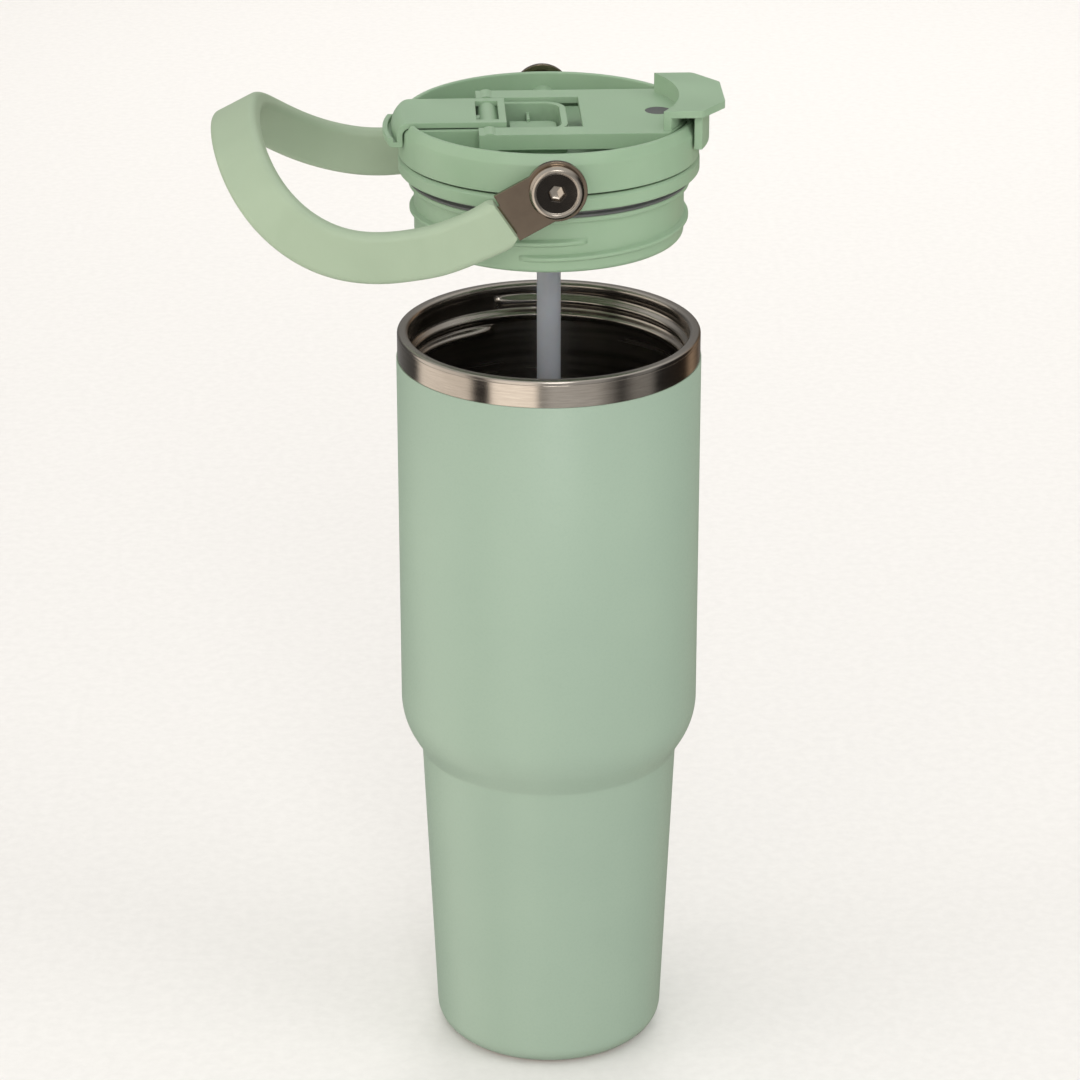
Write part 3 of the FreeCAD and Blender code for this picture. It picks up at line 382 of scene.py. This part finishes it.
def clear_plastic():
    """Smoke-tinted extruded tube with faint draw lines."""
    s = Shader("clear_straw_plastic")
    lines = s.noise(1.0, 3.0, 0.6, where=s.round_the_axis(60.0, 6.0))
    haze = s.noise(60.0, 3.0, 0.5)
    colour = s.mix(s.ramp(haze, 0.3, 0.7, 0.0, 1.0), srgb(190, 188, 194), srgb(202, 200, 206))
    s.set(Base_Color=colour, Roughness=s.ramp(lines, 0.3, 0.7, 0.28, 0.36),
          Normal=s.bump(lines, 0.000008, 0.4))
    s.surface.inputs["IOR"].default_value = 1.45
    s.surface.inputs["Transmission Weight"].default_value = 0.35
    s.surface.inputs["Subsurface Weight"].default_value = 0.2
    return s.material


def cast_metal(name, dark, light, rough):
    s = Shader(name)
    grain = s.noise(1800.0, 3.0, 0.6)
    colour = s.mix(s.ramp(grain, 0.35, 0.65, 0.0, 1.0), dark, light)
    s.set(Base_Color=colour, Roughness=s.ramp(grain, 0.3, 0.7, rough, rough + 0.15),
          Normal=s.bump(grain, 0.00003, 0.6, s.soft_edges(0.2)))
    s.surface.inputs["Metallic"].default_value = 1.0
    return s.material


COAT = powder_coat()
LID = moulded("lid_plastic", srgb(146, 172, 144), srgb(141, 167, 139), srgb(160, 184, 157),
             0.34, 0.44, weight=0.25)
GRIP = moulded("grip_plastic", srgb(158, 175, 150), srgb(152, 169, 144), srgb(172, 188, 164),
               0.44, 0.58, 0.4, 0.00004, 0.05)
STEEL = brushed_steel()
VESSEL = vessel_steel()
# straps and spacers: the dark brown base colour is a painted reflection of a dark brown surround,
# not the steel's own tone
BROWN_REFLECTION_PAINTED_STEEL = polished_steel("steel_with_painted_brown_reflection", srgb(120, 106, 92), srgb(134, 120, 104), 0.10)
RIM = polished_steel("polished_rim_steel", srgb(150, 142, 132), srgb(176, 168, 158), 0.14)
# the bolt's recessed face: its near-black colour is a painted dark reflection, not a blackened
# finish
FACE_PAINTED_DARK_REFLECTION = polished_steel("face_steel_painted_dark_reflection", srgb(44, 41, 38), srgb(58, 54, 50), 0.22)
PIN = polished_steel("pin_steel", srgb(150, 146, 140), srgb(178, 174, 168), 0.2)
RUBBER = silicone("grey_silicone", srgb(158, 162, 158), srgb(142, 147, 143))
SEAL = silicone("dark_grey_silicone", srgb(96, 98, 97), srgb(84, 86, 86))
STRAW = clear_plastic()
FOOT = moulded("foot_plastic", srgb(150, 168, 148), srgb(143, 161, 141), srgb(164, 180, 161))
BRASS = cast_metal("turned_brass", srgb(168, 136, 72), srgb(196, 164, 96), 0.28)
SOLDER = cast_metal("solder", srgb(120, 122, 126), srgb(150, 152, 156), 0.4)
GETTER = cast_metal("getter_alloy", srgb(88, 86, 82), srgb(120, 118, 112), 0.5)

BY_NODE = {
    "powder_coat": COAT, "outer_shell": STEEL, "inner_vessel": VESSEL, "shell_bottom": STEEL,
    "vacuum_seal": SOLDER, "getter": GETTER, "base_cover": FOOT, "lid_cover": LID, "lid_plug": LID,
    "lid_gasket": SEAL, "cover_oring": RUBBER, "vent_valve": RUBBER, "straw_connector": STRAW,
    "straw": STRAW, "spout_seal": RUBBER, "flip_spout": LID, "spout_tip": RUBBER,
    "hinge_pin_front": PIN, "hinge_pin_back": PIN, "sip_flap": LID, "flap_stopper": SEAL,
    "pivot_insert_front": BRASS, "pivot_insert_back": BRASS, "pivot_spacer_front": BROWN_REFLECTION_PAINTED_STEEL,
    "pivot_spacer_back": BROWN_REFLECTION_PAINTED_STEEL, "pivot_bolt_front": BROWN_REFLECTION_PAINTED_STEEL, "pivot_bolt_back": BROWN_REFLECTION_PAINTED_STEEL,
    "handle_strap_front": BROWN_REFLECTION_PAINTED_STEEL, "handle_strap_back": BROWN_REFLECTION_PAINTED_STEEL, "handle_grip": GRIP}
for name, material in BY_NODE.items():
    nodes[name].data.materials.clear()
    nodes[name].data.materials.append(material)


# ------------------------------------------------------------------ mug
def wall_line(inset, low, top):
    """The mug's outline moved inward by an inset: foot corner, cone, shoulder and cylinder."""
    taper = math.atan((WAIST_R - FOOT_R) / WAIST_Z)
    waist_z = WAIST_Z + inset * (1 / math.cos(SHOULDER_SLOPE) - 1 / math.cos(taper)) / (
        math.tan(SHOULDER_SLOPE) - math.tan(taper))
    waist_r = FOOT_R + math.tan(taper) * waist_z - inset / math.cos(taper)
    shoulder_z = (WAIST_Z + (MUG_R - WAIST_R) / math.tan(SHOULDER_SLOPE)
                  + inset * math.tan(SHOULDER_SLOPE / 2))
    base_r = FOOT_R + math.tan(taper) * low - inset / math.cos(taper)
    return [(base_r, low, FOOT_ROUND - inset), (waist_r, waist_z, WAIST_ROUND + inset),
            (MUG_R - inset, shoulder_z, SHOULDER_ROUND - inset), (MUG_R - inset, top)]


def make_mug():
    # powder coat: outer face, a soft masked edge at the bare band, and its own thickness
    outer = rounded_line([(30.0, 0.0)] + wall_line(0.0, 0.0, 246.95), 12)
    outer = [spot for spot in outer if spot[1] >= 0.62]
    inner = rounded_line([(30.0, 0.3)] + wall_line(0.3, 0.3, 247.0), 12)
    inner = [spot for spot in inner if spot[1] >= 0.85]
    edge = [(49.93, 247.0), (49.78, 247.0)]
    points, faces = turned(outer + edge + inner[::-1])
    mesh_object("coat_skin", points, faces, "mug", COAT, ["powder_coat"])
    # outer wall: foot ring, wall and the bare band up to the weld under the lip
    outer = rounded_line([(25.1, 0.8), (25.1, 0.0, 0.35)] + wall_line(0.31, 0.0, 254.3), 12)
    crimp = rounded_line([(49.69, 254.42), (49.6, 254.5, 0.05), (48.95, 254.5)], 3)
    inner = rounded_line([(25.1, 0.8)] + wall_line(1.1, 0.8, 254.5), 8)
    points, faces = turned(outer + crimp + inner[::-1])
    mesh_object("shell_wall", points, faces, "mug", STEEL, ["outer_shell"])
    # vessel: spun floor, wall, rolled lip and rolled thread
    floor = [(0.0, 8.62), (6.0, 8.62), (7.0, 8.5), (18.0, 8.5), (19.0, 8.66), (24.0, 8.66),
             (25.0, 8.5)]
    inside = rounded_line([(26.0, 8.5)] + wall_line(3.7, 8.5, 251.6), 12)
    lip = rounded_line([(46.3, 251.6), (46.3, 252.2, 1.2), (45.82, 253.0, 1.0),
                        (45.82, 255.98, 1.5),
                        (49.69, 255.98, 0.9), (49.69, 254.53, 0.04), (48.9, 254.52)], 10)
    outside = rounded_line([(26.0, 7.7)] + wall_line(2.9, 7.7, 252.0), 6)
    points, faces = turned(floor + inside + lip + [(48.0, 253.0)] + outside[::-1] + [(0.0, 7.7)],
                           closed=False)
    bead = thread(46.3, 1.92, 2.3, 240.0, 111.0, 2.0, outward=False, plateau=0.12, fade_deg=16.0)
    points, faces = joined((points, faces), bead)
    mesh_object("vessel_wall", points, faces, "mug", VESSEL, ["inner_vessel"])


def drilled(item, holes):
    """Cut round holes, given as x, y, radius, low and high, out of a piece."""
    for x, y, radius, low, high in holes:
        line = [(0.0, low), (radius, low), (radius, high), (0.0, high)]
        cutter_points, cutter_faces = turned(line, False, 64)
        mesh = bpy.data.meshes.new("drill")
        spots = [((px + x) * MM, (py + y) * MM, pz * MM) for px, py, pz in cutter_points]
        mesh.from_pydata(spots, [], cutter_faces)
        work = bmesh.new()
        work.from_mesh(mesh)
        bmesh.ops.remove_doubles(work, verts=work.verts, dist=1e-7)
        bmesh.ops.recalc_face_normals(work, faces=work.faces)
        work.to_mesh(mesh)
        work.free()
        cutter = bpy.data.objects.new("drill", mesh)
        bpy.context.scene.collection.objects.link(cutter)
        modifier = item.modifiers.new("hole", "BOOLEAN")
        modifier.operation = "DIFFERENCE"
        modifier.solver = "EXACT"
        modifier.object = cutter
        bpy.context.view_layer.update()
        graph = bpy.context.evaluated_depsgraph_get()
        made = bpy.data.meshes.new_from_object(item.evaluated_get(graph))
        item.modifiers.clear()
        item.data = made
        bpy.data.objects.remove(cutter)


def make_plug():
    """Screw plug: collar, seal flange, sides, rounded rim and a tapering thread ridge."""
    outside = rounded_line([
        (0.0, -21.4), (33.0, -21.4, 0.4), (33.6, -21.15, 0.4), (36.4, -21.15, 0.4),
        (37.0, -21.4, 0.4), (PLUG_R, -21.4, 2.0), (PLUG_R, -4.8, 0.3), (45.2, -4.2, 0.45),
        (45.2, -2.7, 0.35), (PLUG_R, -2.7, 0.2), (PLUG_R, 0.3, 0.2), (48.0, 0.3, 0.3),
        (48.4, 0.8, 0.4), (48.4, 4.2, 0.5), (47.5, 5.1, 0.4), (45.5, 5.1), (45.5, 4.2), (43.7, 4.2),
        (43.7, 5.1), (41.3, 5.1), (41.3, -19.0), (0.0, -19.0)], 7)
    points, faces = turned([(r, z + SEAT) for r, z in outside], False)
    plug = mesh_object("plug_shell", points, faces, "lid", LID)
    below, above = SEAT - 23, SEAT - 18
    drilled(plug, [(0, 0, 5.3, below, above), (SIP_X, 0, SIP_BORE, below, above),
                   VENT + (1.2, below, above)])
    low, high = SEAT - 21.2, SEAT + 6.2
    wall = [(SIP_BORE, low), (4.5, low), (4.5, high), (SIP_BORE, high)]
    spots, tube_faces = turned(wall, True, 64)
    tube = ([(x + SIP_X, y, z) for x, y, z in spots], tube_faces)
    ridge = thread(PLUG_R, 1.5, 1.25, SEAT - 16.5, 255.0, 1.08, outward=True, plateau=0.3,
                   fade_deg=16.0)
    points, faces = joined(ridge, tube)
    mesh_object("plug_ridge", points, faces, "lid", LID)
    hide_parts("lid_plug")


def make_straw():
    line = rounded_line([
        (3.1, 54.8, 0.2), (3.3, 54.5, 0.25), (3.7, 54.5, 0.3), (3.9, 54.8, 0.3),
        (3.9, 301.2, 0.3), (3.7, 301.5, 0.2), (3.3, 301.5, 0.2), (3.1, 301.2, 0.3)], 4)
    points, faces = turned(line, True, 64)
    mesh_object("straw_tube", points, faces, "straw", STRAW, ["straw"])


# ------------------------------------------------------------------ handle hardware
def make_bolt(side, sign):
    """Shoulder bolt: polished rim, a recessed face darkened by a painted dark reflection, and a
    hexagon socket in the rim's brighter steel.
    """
    shape = rounded_line([
        (0.0, 45.3), (4.0, 45.3, 0.3), (4.0, 55.1, 0.1), (8.5, 55.1, 0.3), (8.5, 56.6, 0.35),
        (7.7, 57.5, 0.5), (6.9, 57.68, 0.35), (6.35, 57.2, 0.15), (6.1, 57.15)], 6)
    count = 96
    rows = [[(r, reach)] * count for r, reach in shape]
    flat = 2.25

    def hexagon(step, size):
        angle = (360.0 * step / count + 10) % 60 - 30
        return size / math.cos(math.radians(angle))
    for size, reach in ((flat + 0.55, 57.15), (flat + 0.22, 57.12), (flat, 56.9),
                        (flat - 0.02, 55.5), (flat * 0.8, 55.35)):
        rows.append([(hexagon(step, size), reach) for step in range(count)])
    rows.append([(0.05, 54.9)] * count)
    points = []
    for row in rows:
        for step, (r, reach) in enumerate(row):
            angle = 2 * math.pi * step / count
            points.append((r * math.cos(angle), sign * reach, PIVOT + r * math.sin(angle)))
    faces = []
    for index in range(len(rows) - 1):
        for step in range(count):
            nxt = (step + 1) % count
            a = index * count
            b = a + count
            faces.append([a + step, a + nxt, b + nxt, b + step])
    last = (len(rows) - 1) * count
    faces.append([last + step for step in range(count)])
    bolt = mesh_object("bolt_" + side, points, faces, "lid", RIM,
                       ["pivot_bolt_" + side])
    bolt.data.materials.append(FACE_PAINTED_DARK_REFLECTION)
    bolt.data.materials.append(RIM)
    # the recessed face gets a painted dark reflection and the socket the rim's brighter steel, told
    # apart by where each face lies
    for face in bolt.data.polygons:
        middle = face.center
        r = math.hypot(middle.x, middle.z - PIVOT * MM) / MM
        reach = abs(middle.y) / MM
        if reach > 56.95 and 2.3 < r < 6.32:
            face.material_index = 1
        elif r < 2.9 and reach > 54.0:
            face.material_index = 2


def refined(node, width, body="lid"):
    """A copy of a CAD piece of the lid with merged flats and real rounded edges."""
    source = nodes[node]
    item = bpy.data.objects.new(node + "_moulded", source.data.copy())
    bpy.context.scene.collection.objects.link(item)
    mesh = item.data
    work = bmesh.new()
    work.from_mesh(mesh)
    bmesh.ops.remove_doubles(work, verts=work.verts, dist=2e-6)
    bmesh.ops.dissolve_limit(work, angle_limit=math.radians(0.6), verts=work.verts,
                             edges=work.edges, delimit=set())
    work.to_mesh(mesh)
    work.free()
    if mesh.attributes.get("custom_normal"):
        mesh.attributes.remove(mesh.attributes["custom_normal"])
    bevel = item.modifiers.new("edges", "BEVEL")
    bevel.width = width * MM
    bevel.segments = 3
    bevel.limit_method = "ANGLE"
    bevel.angle_limit = math.radians(28.0)
    bevel.use_clamp_overlap = True
    bevel.harden_normals = True
    bpy.context.view_layer.update()
    graph = bpy.context.evaluated_depsgraph_get()
    made = bpy.data.meshes.new_from_object(item.evaluated_get(graph))
    item.modifiers.clear()
    item.data = made
    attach(item, body)
    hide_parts(node)


# ------------------------------------------------------------------ stage, camera and light
def make_stage():
    """A pale sweep: flat floor that curves up into a backdrop."""
    line = [(-4.0, 0.0)]
    for step in range(25):
        angle = math.pi / 2 * step / 24
        line.append((2.4 + 1.2 * math.sin(angle), 1.2 - 1.2 * math.cos(angle)))
    line.append((3.6, 4.5))
    points = []
    faces = []
    for index, (y, z) in enumerate(line):
        points += [(-5.0, y, z - 0.00005), (5.0, y, z - 0.00005)]
        if index:
            faces.append([2 * index - 2, 2 * index - 1, 2 * index + 1, 2 * index])
    mesh = bpy.data.meshes.new("sweep")
    mesh.from_pydata(points, [], faces)
    mesh.polygons.foreach_set("use_smooth", [True] * len(mesh.polygons))
    sweep = bpy.data.objects.new("sweep", mesh)
    bpy.context.scene.collection.objects.link(sweep)
    s = Shader("pale_paper")
    paper = s.noise(240.0, 4.0, 0.6)
    s.set(Base_Color=s.mix(s.ramp(paper, 0.35, 0.65, 0.0, 1.0), srgb(228, 226, 224),
                           srgb(232, 230, 228)))
    s.surface.inputs["Roughness"].default_value = 0.9
    s.surface.inputs["Specular IOR Level"].default_value = 0.2
    mesh.materials.append(s.material)
    sweep.visible_glossy = False


def soft_box(name, place, target, size, power, colour):
    data = bpy.data.lights.new(name, "AREA")
    data.shape = "RECTANGLE"
    data.size, data.size_y = size
    data.energy = power
    data.color = colour
    lamp = bpy.data.objects.new(name, data)
    bpy.context.scene.collection.objects.link(lamp)
    lamp.location = place
    lamp.rotation_euler = (Vector(target) - Vector(place)).to_track_quat("-Z", "Y").to_euler()
    return lamp


WARM = (1.0, 0.93, 0.85)
BROWN = (1.0, 0.72, 0.5)
NEUTRAL = (1.0, 0.99, 0.97)
# studio panels and black flags round the mug: degrees from the front, towards +X, level, tint
PANELS = ((-180, 0.30, NEUTRAL), (-122, 0.06, NEUTRAL), (-114, 1.35, WARM), (-66, 1.2, WARM),
          (-60, 0.02, NEUTRAL), (-49, 0.02, NEUTRAL), (-46, 1.75, WARM), (-13, 1.75, WARM),
          (-9, 0.40, NEUTRAL), (0, 0.70, NEUTRAL), (34, 0.66, NEUTRAL), (54, 0.05, NEUTRAL),
          (66, 0.34, NEUTRAL), (80, 0.34, NEUTRAL), (88, 0.03, NEUTRAL), (124, 0.03, BROWN),
          (134, 0.45, BROWN), (150, 0.12, BROWN), (180, 0.30, NEUTRAL))


def make_light():
    world = bpy.data.worlds.new("studio")
    world.use_nodes = True
    tree = world.node_tree
    back = tree.nodes["Background"]
    back.inputs["Strength"].default_value = 1.0

    def add(kind, operation=None, first=None, second=None):
        node = tree.nodes.new(kind)
        if operation:
            node.operation = operation
        for index, given in ((0, first), (1, second)):
            if isinstance(given, bpy.types.NodeSocket):
                tree.links.new(given, node.inputs[index])
            elif given is not None:
                node.inputs[index].default_value = given
        return node
    split = add("ShaderNodeSeparateXYZ", None, add("ShaderNodeTexCoord").outputs["Generated"])
    away = add("ShaderNodeMath", "MULTIPLY", split.outputs["Y"], -1.0).outputs[0]
    round_ = add("ShaderNodeMath", "ARCTAN2", split.outputs["X"], away).outputs[0]
    turns = add("ShaderNodeMath", "DIVIDE", round_, 2 * math.pi).outputs[0]
    share = add("ShaderNodeMath", "ADD", turns, 0.5).outputs[0]
    ramp = add("ShaderNodeValToRGB", None, share)
    stops = ramp.color_ramp.elements
    while len(stops) < len(PANELS):
        stops.new(0.5)
    # all the places first, because the stops may change order as they move
    for stop, (degrees, _, _) in zip(stops, PANELS):
        stop.position = degrees / 360 + 0.5
    for stop, (_, level, colour) in zip(stops, PANELS):
        stop.color = tuple(level * part for part in colour) + (1.0,)
    # overhead: an even soft ceiling
    over = add("ShaderNodeMapRange")
    tree.links.new(split.outputs["Z"], over.inputs["Value"])
    for key, given in (("From Min", 0.35), ("From Max", 0.75), ("To Min", 0.0), ("To Max", 1.0)):
        over.inputs[key].default_value = given
    blend = tree.nodes.new("ShaderNodeMix")
    blend.data_type = "RGBA"
    tree.links.new(over.outputs["Result"], blend.inputs[0])
    tree.links.new(ramp.outputs[0], blend.inputs[6])
    blend.inputs[7].default_value = (0.95, 0.95, 0.935, 1.0)
    tree.links.new(blend.outputs[2], back.inputs["Color"])
    bpy.context.scene.world = world
    middle = (0.0, 0.0, 0.2)
    far = 1.6
    # name, degrees from the front, height, width, length, watts, colour
    for name, degrees, height, width, tall, power, colour in (
            ("front", 4, 1.15, 0.55, 0.8, 7.0, (1.0, 0.99, 0.97)),
            ("right", 62, 0.60, 0.9, 1.3, 8.5, (1.0, 0.985, 0.96)),
            ("left", -68, 0.60, 0.9, 1.3, 5.8, (1.0, 0.99, 0.975)),
            ("behind", 172, 1.25, 1.0, 0.8, 9.0, (1.0, 0.99, 0.97))):
        angle = math.radians(degrees)
        lamp = soft_box(name, (far * math.sin(angle), -far * math.cos(angle), height), middle,
                        (width, tall), power, colour)
        lamp.visible_camera = False
        lamp.visible_glossy = name == "front"


def make_camera():
    """The view: 1.25 m from the rim's centre, 19.8 degrees up, 2.5 degrees to the left."""
    data = bpy.data.cameras.new("view")
    data.sensor_width = 36.0
    data.lens = 127.233233
    data.clip_start = 0.05
    data.clip_end = 20
    camera = bpy.data.objects.new("view", data)
    bpy.context.scene.collection.objects.link(camera)
    far = 1.25
    up = math.radians(19.767)
    # the line of sight passes right of the rim's centre and below it
    right = math.radians(0.132094)
    drop = math.radians(3.175401)
    # level camera frame looking along +Y, tipped down, then turned left about its own up
    tip = Matrix.Rotation(math.radians(90) - up - drop, 4, "X")
    turn = Matrix.Rotation(right, 4, "Y")
    place = Matrix.Translation((0, -far * math.cos(up), far * math.sin(up)))
    azimuth = Matrix.Rotation(math.radians(-2.5), 4, "Z")
    lift = Matrix.Translation((0, 0, 0.256))
    camera.matrix_world = lift @ azimuth @ place @ tip @ turn
    bpy.context.scene.camera = camera


make_mug()
make_plug()
refined("lid_cover", 0.35)
refined("sip_flap", 0.45, body="flap")
refined("flip_spout", 0.3, body="spout")
make_straw()
make_bolt("front", -1)
make_bolt("back", 1)
make_stage()
make_light()
make_camera()
bpy.context.scene.view_settings.view_transform = "Standard"
